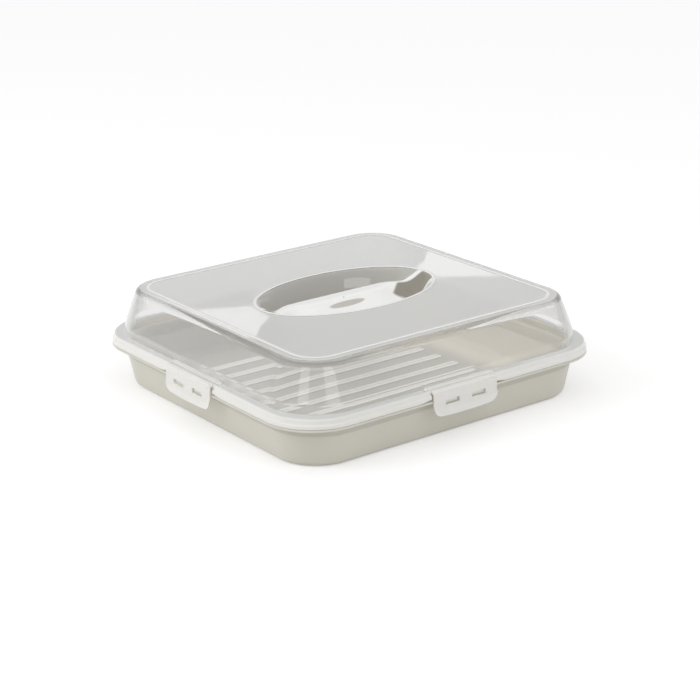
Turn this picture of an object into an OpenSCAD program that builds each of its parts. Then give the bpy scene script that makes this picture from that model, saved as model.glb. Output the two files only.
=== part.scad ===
// Cake carrier: a shallow moulded tray under a clear hood with an oval grip,
// held down by one hinged clip on each side.
// The origin is the bottom centre, +X runs along the front and +Z is up.

/* [Outline] */
// Width over the tray's lip
lip_w = 355; // [320:1:390]
// Depth over the tray's lip
lip_d = 345; // [310:1:380]
// Corner radius of the lip
lip_corner_r = 51; // [46:1:56]
// Distance from the lip in to the centres that the tapered walls turn about
wall_inset = 59.5; // [58:0.5:62]

/* [Tray] */
// Height of the top face of the lip
lip_z = 42; // [38:0.5:46]
// Thickness of the lip
lip_t = 2.2; // [1.8:0.1:3]
// Distance from the lip in to the edge of the foot
foot_inset = 24.4; // [22:0.1:27]
// Outer radius between the foot and the wall
foot_r = 8.7; // [6:0.1:10]
// Lean of the tray's wall from upright
tray_lean = 11.3; // [6:0.1:14]
// Thickness of the tray's wall
tray_t = 2.0; // [1.6:0.1:2.6]
// Height of the inner floor
floor_z = 3.4; // [3:0.1:5]
// Height of the hollow under the floor
foot_hollow = 1.2; // [0.6:0.1:1.4]
// Height of the step below the lip
step_z = 30.5; // [28:0.5:33]
// Height of the upstand that carries the hood, over the lip
upstand_h = 7.5; // [6:0.1:9]

/* [Floor ribs] */
// Number of ribs along the floor
rib_count = 9; // [5:2:9]
// Distance from one rib to the next
rib_pitch = 26.5; // [22:0.5:28]
// Width of one rib
rib_w = 11; // [8:0.5:14]
// Height of one rib
rib_h = 1.6; // [1:0.1:2.4]
// Length of one rib
rib_len = 230; // [180:2:236]

/* [Hood] */
// Height of the hood's flat top
top_z = 94.5; // [90:0.5:104]
// Thickness of the hood's wall
hood_t = 1.8; // [1.4:0.1:2.4]
// Distance from the lip in to the foot of the hood's wall
dome_inset = 9.5; // [9:0.1:11]
// Height of the upright band at the foot of the hood's wall
dome_band_h = 8.2; // [6:0.1:10]
// Lean of the hood's wall from upright
dome_lean = 20.3; // [14:0.1:22]
// Outer radius where the wall turns into the top
shoulder_r = 13; // [9:0.5:15]
// Distance from the lip in to the skirt's upright face
skirt_inset = 2.2; // [1.8:0.1:2.6]
// Gap between the skirt and the tray's lip
skirt_gap = 0.4; // [0.3:0.1:1]
// Rise of the skirt's lower edge beside each clip
skirt_rise = 1.5; // [0.5:0.1:2]
// Height of the sloped land above each clip
land_h = 2.2; // [1:0.1:3]

/* [Grip] */
// Length of the oval opening
grip_len = 190; // [160:2:200]
// Width of the oval opening
grip_w = 115; // [100:1:124]
// Depth of the finger wells
well_depth = 27; // [20:1:30]
// Depth of the grip bar's crest below the top
bar_drop = 8; // [6:0.5:12]
// Distance of the grip bar's crest behind the middle
bar_y = 16.5; // [12:0.5:18]
// Distance that the crest's ends come forward
bar_bend = 12; // [0:0.5:14]
// Half width of the grip bar behind its crest
bar_rear_w = 9.5; // [8:0.5:11]
// Half width of the grip bar in front of its crest
bar_front_w = 27; // [20:0.5:28]
// Share of the oval that its wall takes up
grip_wall = 0.21; // [0.18:0.01:0.26]
// Height of the bead round the opening
bead_h = 0.7; // [0.4:0.1:1.2]

/* [Clips] */
// Length of a clip
clip_len = 72.5; // [60:0.5:84]
// Thickness of a clip
clip_t = 1.8; // [1.5:0.1:2.2]
// Height of a clip's lower edge at its ends
clip_low_z = 27.5; // [24:0.5:29.5]
// Distance from the middle of a clip to the middle of each window
window_u = 15.2; // [13:0.1:20]
// Length of a window
window_len = 16; // [12:0.5:20]
// Height of a window
window_h = 5; // [4:0.5:6]
// Clearance between a clip and the tray
clip_gap = 0.3; // [0.3:0.05:0.6]
// Radius of the hinge bead
hinge_r = 0.9; // [0.7:0.1:1]

/* [Hidden] */
eps = 0.01;
arc_steps = 8;
half_w = lip_w / 2;
half_d = lip_d / 2;
lip_cx = half_w - lip_corner_r;
lip_cy = half_d - lip_corner_r;
wall_cx = half_w - wall_inset;
wall_cy = half_d - wall_inset;

// Heights of the hood's rim
flange_z = lip_z + upstand_h;
flange_t = 1.6;
skirt_z = lip_z + skirt_gap;
hinge_z = flange_z + 0.9;
hinge_out = -1.9;

// Distances from the middle of the grip at which the crest turns forward and the bar's front narrows
bend_x = 50;
taper_x = 35;
bar_taper = 11;

// Distances from the lip in to the upstand, to the flange's edge behind a clip and to the land's edge
upstand_in = 5.4;
gap_in = 2.9;
land_in = 4.3;

// Depth and height of a lug, and the play of its window at both ends together
lug_d = 9;
lug_h = 4.6;
lug_play = 1.4;

cream = "#e9e4d6";
clear = "#eef1f2";

function arc(c, r, a0, a1) =
    [for (i = [0:arc_steps]) let (a = a0 + (a1 - a0) * i / arc_steps) c + r * [cos(a), sin(a)]];

// Radius at a height of a wall that leans by lean and stands at r0 on z0
function lean_r(r0, z0, lean, z) = r0 + (z - z0) * tan(lean);

// Rounded rectangle of half sizes hw and hd
module rounded(hw, hd, r) {
    square([2 * hw, 2 * (hd - r)], center = true);
    square([2 * (hw - r), 2 * hd], center = true);
    for (sx = [-1, 1], sy = [-1, 1])
        translate([sx * (hw - r), sy * (hd - r)]) circle(r = r, $fn = 96);
}

// Flat ring from the wall outline at radius inner_r out to the lip outline at radius outer_r
module ring_plate(inner_r, outer_r, z, h) {
    translate([0, 0, z])
        linear_extrude(h)
            difference() {
                rounded(lip_cx + outer_r, lip_cy + outer_r, outer_r);
                rounded(wall_cx + inner_r, wall_cy + inner_r, inner_r);
            }
}

// The child section, radius and height, carried round a rectangle with half sizes cx and cy
module sweep(cx, cy) {
    for (i = [0:3]) {
        sx = (i == 0 || i == 3) ? 1 : -1;
        sy = (i < 2) ? 1 : -1;
        translate([sx * cx, sy * cy, 0])
            rotate([0, 0, 90 * i]) rotate_extrude(angle = 90, $fn = 96) children();
    }
    for (side = [0:3]) {
        out = (side % 2 == 0) ? cx : cy;
        run = (side % 2 == 0) ? cy : cx;
        rotate([0, 0, 90 * side])
            translate([out, run, 0])
                rotate([90, 0, 0]) linear_extrude(2 * run) children();
    }
}

// Section points where a leaning wall rounds into a level floor at height z
function foot_arc(r0, z, r, lean) =
    let (rc = lean_r(r0, 0, lean, z) - r * tan((90 - lean) / 2)) arc([rc, z + r], r, -90, -lean);

// Tray

module tray_section() {
    foot = wall_inset - foot_inset;
    r0 = foot + foot_r * tan((90 - tray_lean) / 2);
    inner_r0 = r0 - tray_t / cos(tray_lean);
    step_r = lean_r(r0, 0, tray_lean, step_z);
    inner_step_r = lean_r(inner_r0, 0, tray_lean, step_z);
    under = lip_z - lip_t;
    polygon(concat(
        [[0, foot_hollow], [foot - 5, foot_hollow], [foot - 4, 0]],
        foot_arc(r0, 0, foot_r, tray_lean),
        [[step_r, step_z], [step_r + 0.9, step_z + 0.9], [step_r + 1.4, under - 3]],
        arc([step_r + 4.4, under - 3], 3, 180, 90),
        [[step_r + 4.4, lip_z], [inner_step_r + 4.2, lip_z], [inner_step_r + 3.6, under]],
        [[inner_step_r + 1.6, under - 3], [inner_step_r + 1, step_z + 1.4], [inner_step_r, step_z]],
        [for (i = [0:arc_steps]) foot_arc(inner_r0, floor_z, foot_r + 2, tray_lean)[arc_steps - i]],
        [[0, floor_z]]
    ));
}

module rib_section() {
    edge = rib_w / 2;
    polygon([[0, -eps], [edge, -eps], [edge - 0.9, rib_h * 0.75], [edge - 2.2, rib_h], [0, rib_h]]);
}

// Rounded bar lying along X
module rib() {
    run = rib_len - rib_w;
    for (s = [-1, 1])
        translate([s * run / 2, 0, floor_z])
            rotate([0, 0, -90 * s]) rotate_extrude(angle = 180, $fn = 48) rib_section();
    for (s = [0, 1])
        mirror([0, s, 0])
            translate([-run / 2, 0, floor_z])
                rotate([90, 0, 90]) linear_extrude(run) rib_section();
}

module upstand_section() {
    out = lip_corner_r - upstand_in;
    polygon([
        [out - 1.9, lip_z - eps], [out, lip_z - eps], [out, flange_z - 0.6],
        [out - 0.5, flange_z], [out - 1.4, flange_z], [out - 1.9, flange_z - 0.6]
    ]);
}

module lip_section() {
    r = lip_corner_r;
    b = lip_z - lip_t;
    polygon([[r - 3, b], [r - 0.8, b], [r, b + 0.8], [r, lip_z - 0.8], [r - 0.8, lip_z], [r - 3, lip_z]]);
}

// Two lugs that a clip's windows frame, on the side that faces +X
module lugs(out) {
    for (s = [-1, 1])
        translate([out - lug_d, s * window_u - (window_len - lug_play) / 2, lip_z - lug_h])
            cube([lug_d, window_len - lug_play, lug_h - eps]);
}

module tray() {
    color(cream) {
        sweep(wall_cx, wall_cy) tray_section();
        translate([-wall_cx, -wall_cy, foot_hollow])
            cube([2 * wall_cx, 2 * wall_cy, floor_z - foot_hollow]);
        for (i = [0:rib_count - 1])
            translate([0, (i - (rib_count - 1) / 2) * rib_pitch, 0]) rib();
        ring_plate(wall_inset - 6, lip_corner_r - 2, lip_z - lip_t, lip_t);
        sweep(lip_cx, lip_cy) lip_section();
        sweep(lip_cx, lip_cy) upstand_section();
        for (side = [0:3])
            rotate([0, 0, 90 * side]) lugs(side % 2 == 0 ? half_w : half_d);
    }
}

// Hood

module dome_section() {
    r0 = wall_inset - dome_inset;
    bend_z = flange_z + flange_t + dome_band_h;
    turn = 90 - dome_lean;
    top_r = lean_r(r0, bend_z, -dome_lean, top_z);
    rc = top_r - shoulder_r * tan(turn / 2);
    shoulder = arc([rc, top_z - shoulder_r], shoulder_r, dome_lean, 90);
    inner_shoulder = arc([rc, top_z - shoulder_r], shoulder_r - hood_t, 90, dome_lean);
    polygon(concat(
        [[r0, flange_z], [r0, bend_z - 1.5], [r0 - 0.4, bend_z + 0.7]],
        shoulder,
        [[rc - 1.2, top_z], [rc - 1.6, top_z + 0.4], [rc - 2.8, top_z + 0.4], [rc - 3.2, top_z], [0, top_z]],
        [[0, top_z - hood_t]],
        inner_shoulder,
        [[r0 - hood_t - 0.4, bend_z + 0.3], [r0 - hood_t, bend_z - 1.9], [r0 - hood_t, flange_z]]
    ));
}

module skirt_section() {
    up = lip_corner_r - skirt_inset;
    lip = lip_corner_r;
    top = flange_z + flange_t;
    z = skirt_z;
    t = 1.7;
    polygon([
        [up - 3, top], [up - 1.2, top - 0.1], [up - 0.4, top - 0.5], [up, top - 1.4],
        [up + 0.1, z + 4.6], [lip - 0.7, z + 3.4], [lip, z + 1.8], [lip, z + 0.3], [lip - 0.3, z],
        [lip - t + 0.3, z], [lip - t, z + 0.4], [lip - t - 0.3, z + 2], [up - t, z + 4],
        [up - t, flange_z], [up - 3, flange_z]
    ]);
}

// Depth of the grip below the top at a point of the oval, from 0 at its rim
function ramp(t) = let (s = min(1, max(0, t))) s * s * (3 - 2 * s);
function crest_y(x) = bar_y - bar_bend * ramp((abs(x) - bend_x) / (grip_len / 2 - bend_x - 5));
function front_w(x) = bar_front_w - bar_taper * ramp((abs(x) - taper_x) / 30);
function bar_w(x, y) = (y > crest_y(x)) ? bar_rear_w : front_w(x);
function bar_share(x, y) = 1 / (1 + pow(abs(y - crest_y(x)) / bar_w(x, y), 4));
function grip_drop(x, y) =
    let (
        rho = norm([x / (grip_len / 2), y / (grip_w / 2)]),
        wall = ramp((1 - rho) / grip_wall),
        keep = bar_drop / well_depth
    ) well_depth * wall * (1 - (1 - keep) * bar_share(x, y));

function grip_normal(x, y) =
    let (
        d = 0.2,
        gx = (grip_drop(x + d, y) - grip_drop(x - d, y)) / (2 * d),
        gy = (grip_drop(x, y + d) - grip_drop(x, y - d)) / (2 * d),
        n = [gx, gy, 1]
    ) n / norm(n);

grip_sides = 56;
grip_rings = concat([for (k = [0:7]) 1 - 0.025 * k], [for (k = [0:9]) 0.78 - 0.0755 * k]);

function oval_point(share, i) =
    let (a = 360 * i / grip_sides) [share * grip_len / 2 * cos(a), share * grip_w / 2 * sin(a)];
function grip_top(share, i) =
    let (p = oval_point(share, i)) [p.x, p.y, top_z + 0.15 - grip_drop(p.x, p.y)];
function grip_under(share, i) =
    let (p = oval_point(share, i)) grip_top(share, i) - hood_t * grip_normal(p.x, p.y);

// Ring of the bead, out past the rim by a distance and up by a height
function bead_ring(out, up) =
    [for (i = [0:grip_sides - 1])
        let (a = 360 * i / grip_sides, p = oval_point(1, i))
            [p.x + out * cos(a), p.y + out * sin(a), top_z + up]];

// Skin of the grip: rings from the bead in to the middle, then back out under it
module grip_skin() {
    rings = concat(
        [bead_ring(2.4, -0.5), bead_ring(2, bead_h * 0.6)],
        [bead_ring(1.4, bead_h), bead_ring(0.7, bead_h * 0.8)],
        [for (s = grip_rings) [for (i = [0:grip_sides - 1]) grip_top(s, i)]],
        [for (k = [len(grip_rings) - 1:-1:1]) [for (i = [0:grip_sides - 1]) grip_under(grip_rings[k], i)]],
        [bead_ring(0.9, -hood_t + 0.2), bead_ring(2.4, -hood_t + 0.8)]
    );
    tips = len(grip_rings) + 3;
    n = len(rings);
    m = grip_sides;
    centre_top = [0, 0, top_z + 0.15 - grip_drop(0, 0)];
    centre_under = centre_top - [0, 0, hood_t];
    points = concat([for (r = rings) each r], [centre_top, centre_under]);
    faces = concat(
        [for (k = [0:n - 1], i = [0:m - 1]) if (k != tips)
            each [
                [k * m + i, k * m + (i + 1) % m, (k + 1) % n * m + (i + 1) % m],
                [k * m + i, (k + 1) % n * m + (i + 1) % m, (k + 1) % n * m + i]
            ]],
        [for (i = [0:m - 1]) [tips * m + i, tips * m + (i + 1) % m, n * m]],
        [for (i = [0:m - 1]) [(tips + 1) * m + (i + 1) % m, (tips + 1) * m + i, n * m + 1]]
    );
    polyhedron(points, [for (f = faces) [f[2], f[1], f[0]]], convexity = 6);
}

// Gap in the rim that a clip swings in, on the side that faces +X
module clip_gap_cut(out) {
    run = clip_len + 1.5;
    ends = run / 2 + 13;
    skirt_in = skirt_inset + 1.9;
    translate([out - skirt_in, -run / 2, skirt_z - 1]) cube([10, run, flange_z - skirt_z + 1]);
    translate([out - gap_in, -run / 2, flange_z - 1]) cube([10, run, flange_t + 2]);
    translate([out - skirt_in, 0, skirt_z])
        rotate([90, 0, 90])
            linear_extrude(10)
                polygon([
                    [-ends, -1], [ends, -1], [ends, 0],
                    [run / 2, skirt_rise], [-run / 2, skirt_rise], [-ends, 0]
                ]);
}

// Land that slopes from the hood's wall down to the flange's edge above a clip
module land(out) {
    back = dome_inset + 0.6;
    z = flange_z + flange_t;
    half = clip_len / 2 + 6.5;
    intersection() {
        translate([out, half, 0])
            rotate([90, 0, 0])
                linear_extrude(2 * half)
                    polygon([
                        [-back, z - 0.3], [-land_in, z - 0.3], [-land_in, z + 0.1],
                        [-dome_inset, z + land_h], [-back, z + land_h]
                    ]);
        translate([out, 0, z - 1])
            linear_extrude(land_h + 2)
                polygon([[-back, -half + 4], [-land_in, -half], [-land_in, half], [-back, half - 4]]);
    }
}

module hood() {
    color(clear) difference() {
        union() {
            sweep(wall_cx, wall_cy) dome_section();
            translate([0, 0, top_z - hood_t])
                linear_extrude(hood_t)
                    difference() {
                        square([2 * wall_cx, 2 * wall_cy], center = true);
                        polygon([for (i = [0:grip_sides - 1]) let (p = bead_ring(1.6, 0)[i]) [p.x, p.y]]);
                    }
            ring_plate(wall_inset - dome_inset - 1, lip_corner_r - skirt_inset - 2, flange_z, flange_t);
            sweep(lip_cx, lip_cy) skirt_section();
            for (side = [0:3])
                rotate([0, 0, 90 * side]) land(side % 2 == 0 ? half_w : half_d);
            grip_skin();
        }
        for (side = [0:3])
            rotate([0, 0, 90 * side]) clip_gap_cut(side % 2 == 0 ? half_w : half_d);
    }
}

// Clips

// Section of a clip across the side: hinge arm, plate and the curled lower edge
module clip_section() {
    x0 = clip_gap;
    x1 = clip_gap + clip_t;
    top = hinge_z + 0.6;
    low = clip_low_z - 3;
    polygon([
        [hinge_out, hinge_z - 0.6], [hinge_out, top], [x1 - 0.9, top], [x1 - 0.25, top - 0.25],
        [x1, top - 0.9], [x1, top - 2.4], [x1 - 0.3, top - 2.6], [x1 - 0.3, top - 2.8], [x1, top - 3],
        [x1, low + 8], [x1 + 0.35, low + 5.4], [x1 + 1.1, low + 3], [x1 + 1.1, low],
        [x0 + 0.9, low], [x0 + 0.7, low + 3], [x0, low + 6], [x0, hinge_z - 0.6]
    ]);
}

// Outline of a clip seen square on: small upper corners, round lower corners, bowed lower edge
module clip_outline() {
    top = hinge_z + 0.6;
    h = clip_len / 2;
    bow = 1.4;
    bow_r = (h * h + bow * bow) / (2 * bow);
    intersection() {
        union() {
            translate([-h, clip_low_z + 7]) square([clip_len, top - clip_low_z - 7]);
            translate([-h + 8, clip_low_z - 3]) square([clip_len - 16, 12]);
            for (s = [-1, 1]) translate([s * (h - 8), clip_low_z + 8]) circle(r = 8, $fn = 64);
        }
        translate([0, clip_low_z - bow + bow_r]) circle(r = bow_r, $fn = 180);
    }
}

module window() {
    translate([-window_len / 2 + 1, -window_h / 2]) square([window_len - 2, window_h]);
    translate([-window_len / 2, -window_h / 2 + 1]) square([window_len, window_h - 2]);
    for (sx = [-1, 1], sy = [-1, 1])
        translate([sx * (window_len / 2 - 1), sy * (window_h / 2 - 1)]) circle(r = 1, $fn = 32);
}

// Clip on the side that faces +X, whose lip stands at out
module clip(out) {
    window_z = lip_z - 3;
    color(clear) translate([out, 0, 0]) {
        difference() {
            intersection() {
                translate([0, clip_len / 2, 0]) rotate([90, 0, 0]) linear_extrude(clip_len) clip_section();
                translate([-5, 0, 0]) rotate([90, 0, 90]) linear_extrude(12) clip_outline();
            }
            for (s = [-1, 1])
                translate([-1, s * window_u, window_z]) rotate([90, 0, 90]) linear_extrude(6) window();
        }
        translate([hinge_out, clip_len / 2, hinge_z])
            rotate([90, 0, 0]) cylinder(r = hinge_r, h = clip_len, $fn = 32);
    }
}

module clip_right() {
    clip(half_w);
}

module clip_back() {
    rotate([0, 0, 90]) clip(half_d);
}

module clip_left() {
    rotate([0, 0, 180]) clip(half_w);
}

module clip_front() {
    rotate([0, 0, 270]) clip(half_d);
}

tray();
hood();
clip_front();
clip_back();
clip_left();
clip_right();
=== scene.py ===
import math
import bmesh
import bpy
from mathutils import Matrix, Vector


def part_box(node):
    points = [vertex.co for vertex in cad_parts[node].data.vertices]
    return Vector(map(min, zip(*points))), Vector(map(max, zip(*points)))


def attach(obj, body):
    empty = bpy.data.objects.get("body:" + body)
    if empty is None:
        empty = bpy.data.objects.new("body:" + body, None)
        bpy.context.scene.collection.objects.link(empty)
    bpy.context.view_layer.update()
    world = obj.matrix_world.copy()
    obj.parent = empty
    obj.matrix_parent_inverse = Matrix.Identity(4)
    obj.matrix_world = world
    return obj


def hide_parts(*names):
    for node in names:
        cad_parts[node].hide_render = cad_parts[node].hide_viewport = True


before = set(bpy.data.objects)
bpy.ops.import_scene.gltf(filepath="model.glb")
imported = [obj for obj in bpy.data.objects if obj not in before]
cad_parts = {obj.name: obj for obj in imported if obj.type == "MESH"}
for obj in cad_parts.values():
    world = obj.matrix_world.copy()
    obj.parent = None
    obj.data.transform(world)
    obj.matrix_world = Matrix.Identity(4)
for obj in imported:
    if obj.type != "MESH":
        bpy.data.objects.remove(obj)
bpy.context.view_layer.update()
mm = 0.001

# Sizes and places in the dictionaries of the carrier's pieces and plastics are in millimetres.
# The rim and the walls are rounded rectangles. Their corners turn about two sets of centres.
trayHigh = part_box("tray")[1]
plan = {
    "lipX": trayHigh[0] / mm,
    "lipY": trayHigh[1] / mm,
    "rimInset": 51.0,       # lip to the centre of its corners
    "wallInset": 59.5,      # lip to the centre of the walls' corners
    "cornerSteps": 22,
    "clipHalf": 37.0,       # half the gap that a clip hangs in
    "besideClip": (-3.5, -1, -0.02, 0.02, 1, 2.5, 4.5, 7, 10, 13.5),    # closer columns round the gap's end
    "sideStep": 9.0,        # least distance between the other columns
    "cornerGap": 3.0,       # last column of a side to the corner
}
ior = 1.49                  # of polypropylene
smoothly = {"interpolation_type": "SMOOTHSTEP"}
asColour = {"data_type": "RGBA"}


def colourOf(hexText):
    parts = [int(hexText[i:i + 2], 16) / 255 for i in (1, 3, 5)]
    return [p / 12.92 if p <= 0.04045 else ((p + 0.055) / 1.055) ** 2.4 for p in parts] + [1.0]


# An input takes a value, a hex colour, a socket, or a node, whose first live output is linked
def addNode(tree, kind, settings={}, inputs={}):
    node = tree.nodes.new(kind)
    for name, value in settings.items():
        setattr(node, name, value)
    for socket, value in inputs.items():
        if isinstance(value, bpy.types.Node):
            value = next(output for output in value.outputs if output.enabled)
        if isinstance(value, bpy.types.NodeSocket):
            tree.links.new(value, node.inputs[socket])
        else:
            node.inputs[socket].default_value = colourOf(value) if isinstance(value, str) else value
    return node


def newMaterial(name):
    material = bpy.data.materials.new(name)
    material.use_nodes = True
    material.node_tree.nodes.clear()
    return material, material.node_tree


# Where a point of the piece lies, in millimetres
def placeOf(tree):
    place = addNode(tree, "ShaderNodeTexCoord").outputs["Object"]
    return addNode(tree, "ShaderNodeVectorMath", {"operation": "DIVIDE"}, {0: place, 1: (mm, mm, mm)})


# Lamps pass straight through clear or milky plastic, tinted by it
def letLampsThrough(tree, shader, tint):
    passing = addNode(tree, "ShaderNodeBsdfTransparent", {}, {"Color": tint})
    path = addNode(tree, "ShaderNodeLightPath").outputs
    both = addNode(tree, "ShaderNodeMixShader", {}, {0: path["Is Shadow Ray"], 1: shader, 2: passing})
    addNode(tree, "ShaderNodeOutputMaterial", {}, {"Surface": both})


# Places round the plan, counter-clockwise: along each straight side, then round the corner after it
def planColumns():
    marks = [plan["clipHalf"] + offset for offset in plan["besideClip"]]
    first, last = marks[0], marks[-1]
    reach = min(plan["lipX"], plan["lipY"]) - plan["wallInset"] - plan["cornerGap"]
    outer, inner = int((reach - last) / plan["sideStep"]), int(first / plan["sideStep"])
    marks += [last + (reach - last) * (i + 1) / outer for i in range(outer)]
    marks += [first * (i + 0.5) / (inner + 0.5) for i in range(inner)]
    sides = sorted([-m for m in marks] + marks)
    turns = [90 * i / plan["cornerSteps"] for i in range(plan["cornerSteps"] + 1)]
    return [column for side in range(4)
            for column in [(side, along, None) for along in sides] + [(side, None, turn) for turn in turns]]


columns = planColumns()


# The point of one column at a radius from the corner centres of the walls, or of the rim
def placeOn(column, radius, height, rim=False):
    side, along, turn = column
    inset = plan["rimInset"] if rim else plan["wallInset"]
    across, deep = plan["lipX"] - inset, plan["lipY"] - inset
    reach, run = (across, deep) if side % 2 == 0 else (deep, across)
    if turn is None:
        out = reach + radius
    else:
        out = reach + radius * math.cos(math.radians(turn))
        along = run + radius * math.sin(math.radians(turn))
    x, y = [(out, along), (-along, out), (-out, -along), (along, -out)][side]
    return Vector((x, y, height)) * mm


# Corner points (radius, height, rounding) turned into a line with round bends
def rounded(corners, steps=4):
    line = []
    for i, (radius, height, rounding) in enumerate(corners):
        here = Vector((radius, height))
        if rounding == 0 or i in (0, len(corners) - 1):
            line.append(tuple(here))
            continue
        back = Vector(corners[i - 1][:2]) - here
        ahead = Vector(corners[i + 1][:2]) - here
        angle = back.angle(ahead)
        cut = min(rounding / math.tan(angle / 2), 0.49 * back.length, 0.49 * ahead.length)
        bend = cut * math.tan(angle / 2)
        centre = here + (back.normalized() + ahead.normalized()).normalized() * bend / math.sin(angle / 2)
        first = here + back.normalized() * cut - centre
        last = here + ahead.normalized() * cut - centre
        sweep = math.pi - angle
        for k in range(steps + 1):
            a, b = math.sin((1 - k / steps) * sweep), math.sin(k / steps * sweep)
            line.append(tuple(centre + (first * a + last * b) / math.sin(sweep)))
    return line


def ringsOf(line, rim=False):
    return [[placeOn(column, radius, height, rim) for column in columns] for radius, height in line]


def finishMesh(name, verts, faces, material, sharp=38):
    mesh = bpy.data.meshes.new(name)
    mesh.from_pydata([tuple(v) for v in verts], [], faces)
    work = bmesh.new()
    work.from_mesh(mesh)
    bmesh.ops.remove_doubles(work, verts=work.verts, dist=0.002 * mm)
    bmesh.ops.recalc_face_normals(work, faces=work.faces)
    work.to_mesh(mesh)
    work.free()
    mesh.polygons.foreach_set("use_smooth", [True] * len(mesh.polygons))
    mesh.set_sharp_from_angle(angle=math.radians(sharp))
    mesh.materials.append(material)
    piece = bpy.data.objects.new(name, mesh)
    bpy.context.scene.collection.objects.link(piece)
    return piece


# A closed shell: rings that start round the middle of the top, run out and down, and end under the middle
def shellFrom(name, rings, topMiddle, underMiddle, material):
    count = len(rings[0])
    verts = [topMiddle] + [point for ring in rings for point in ring] + [underMiddle]
    tip = len(verts) - 1
    last = 1 + (len(rings) - 1) * count
    faces = []
    for j in range(count):
        k = (j + 1) % count
        faces.append((0, 1 + j, 1 + k))
        faces.append((last + j, tip, last + k))
        for i in range(len(rings) - 1):
            a = 1 + i * count
            faces.append((a + j, a + count + j, a + count + k, a + k))
    return finishMesh(name, verts, faces, material)


# 0 up to the first place, 1 from the last one on, and smooth between them
def smooth(value, first, last):
    share = min(1, max(0, (value - first) / (last - first)))
    return share * share * (3 - 2 * share)


print("tray")


# Injection-moulded polypropylene, cream, from a lightly sparked mould: satin, with a fine even grain and a
# very faint drift of tone where the melt cooled. The strip below the lip is multiplied darker as painted
# shade, where the lip overhangs it. A fade gives an axis, where along it the tone starts and stops changing,
# and the new tone; the fades used here paint the floor's lighter ends and the ribs' painted highlight.
def creamPolypropylene(name, light, deep, fade=None):
    look = {
        "roughness": (0.32, 0.41),
        "drift": 71.4, "grain": 0.9, "relief": 0.02,        # across a patch, across a grain, and its height
        "band": "#EFEFEF", "bandEdges": ((30.35, 30.85), (40.0, 39.2)),
    }
    material, tree = newMaterial(name)
    place = placeOf(tree)
    spot = addNode(tree, "ShaderNodeSeparateXYZ", {}, {0: place}).outputs
    drift = addNode(tree, "ShaderNodeTexNoise", {}, {
        "Vector": place, "Scale": 1 / look["drift"], "Detail": 2.0})
    grain = addNode(tree, "ShaderNodeTexNoise", {}, {
        "Vector": place, "Scale": 1 / look["grain"], "Detail": 3.0})
    rough = addNode(tree, "ShaderNodeMapRange", {}, {
        "Value": grain, "To Min": look["roughness"][0], "To Max": look["roughness"][1]})
    bump = addNode(tree, "ShaderNodeBump", {}, {
        "Height": grain, "Strength": 0.25, "Distance": look["relief"] * mm})
    tone = addNode(tree, "ShaderNodeMix", asColour, {0: drift, 6: light, 7: deep})
    if fade:
        axis, first, last, faded = fade
        away = addNode(tree, "ShaderNodeMath", {"operation": "ABSOLUTE"}, {0: spot[axis]})
        share = addNode(tree, "ShaderNodeMapRange", smoothly, {
            "Value": away, "From Min": first, "From Max": last})
        tone = addNode(tree, "ShaderNodeMix", asColour, {0: share, 6: tone, 7: faded})
    # Painted shade: the strip below the lip is multiplied darker, where the lip overhangs it
    over, under = [addNode(tree, "ShaderNodeMapRange", smoothly, {
        "Value": spot["Z"], "From Min": first, "From Max": last}) for first, last in look["bandEdges"]]
    band = addNode(tree, "ShaderNodeMath", {"operation": "MULTIPLY"}, {0: over, 1: under})
    shade = addNode(tree, "ShaderNodeMix", {"data_type": "RGBA", "blend_type": "MULTIPLY"}, {
        0: band, 6: tone, 7: look["band"]})
    shader = addNode(tree, "ShaderNodeBsdfPrincipled", {}, {
        "Base Color": shade, "Roughness": rough, "IOR": ior, "Normal": bump})
    addNode(tree, "ShaderNodeOutputMaterial", {}, {"Surface": shader})
    return material


tray = {
    "top": 42.0, "lipThick": 2.2, "lipRound": 0.8, "foot": 35.1, "footBend": 8.7, "hollow": 1.2,
    "lean": 11.3, "wall": 2.0, "floor": 3.4, "floorBend": 10.7, "step": 30.5,
    "upstandIn": 43.7, "upstandOut": 45.6, "upstandTop": 49.5, "upstandRound": 0.6,
    "floorRings": (0.15, 0.4, 0.65, 0.85),      # shares of the way out to the floor's bend
    "outside": ("#E4E1D6", "#E0DCD0"),
    "inside": ("#C3C1BB", "#BFBDB6", ("X", 114.0, 144.0, "#E6E1D6")),       # painted darker than the outside as painted shade; the floor's ends are painted lighter as a painted reflection
}


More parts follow.
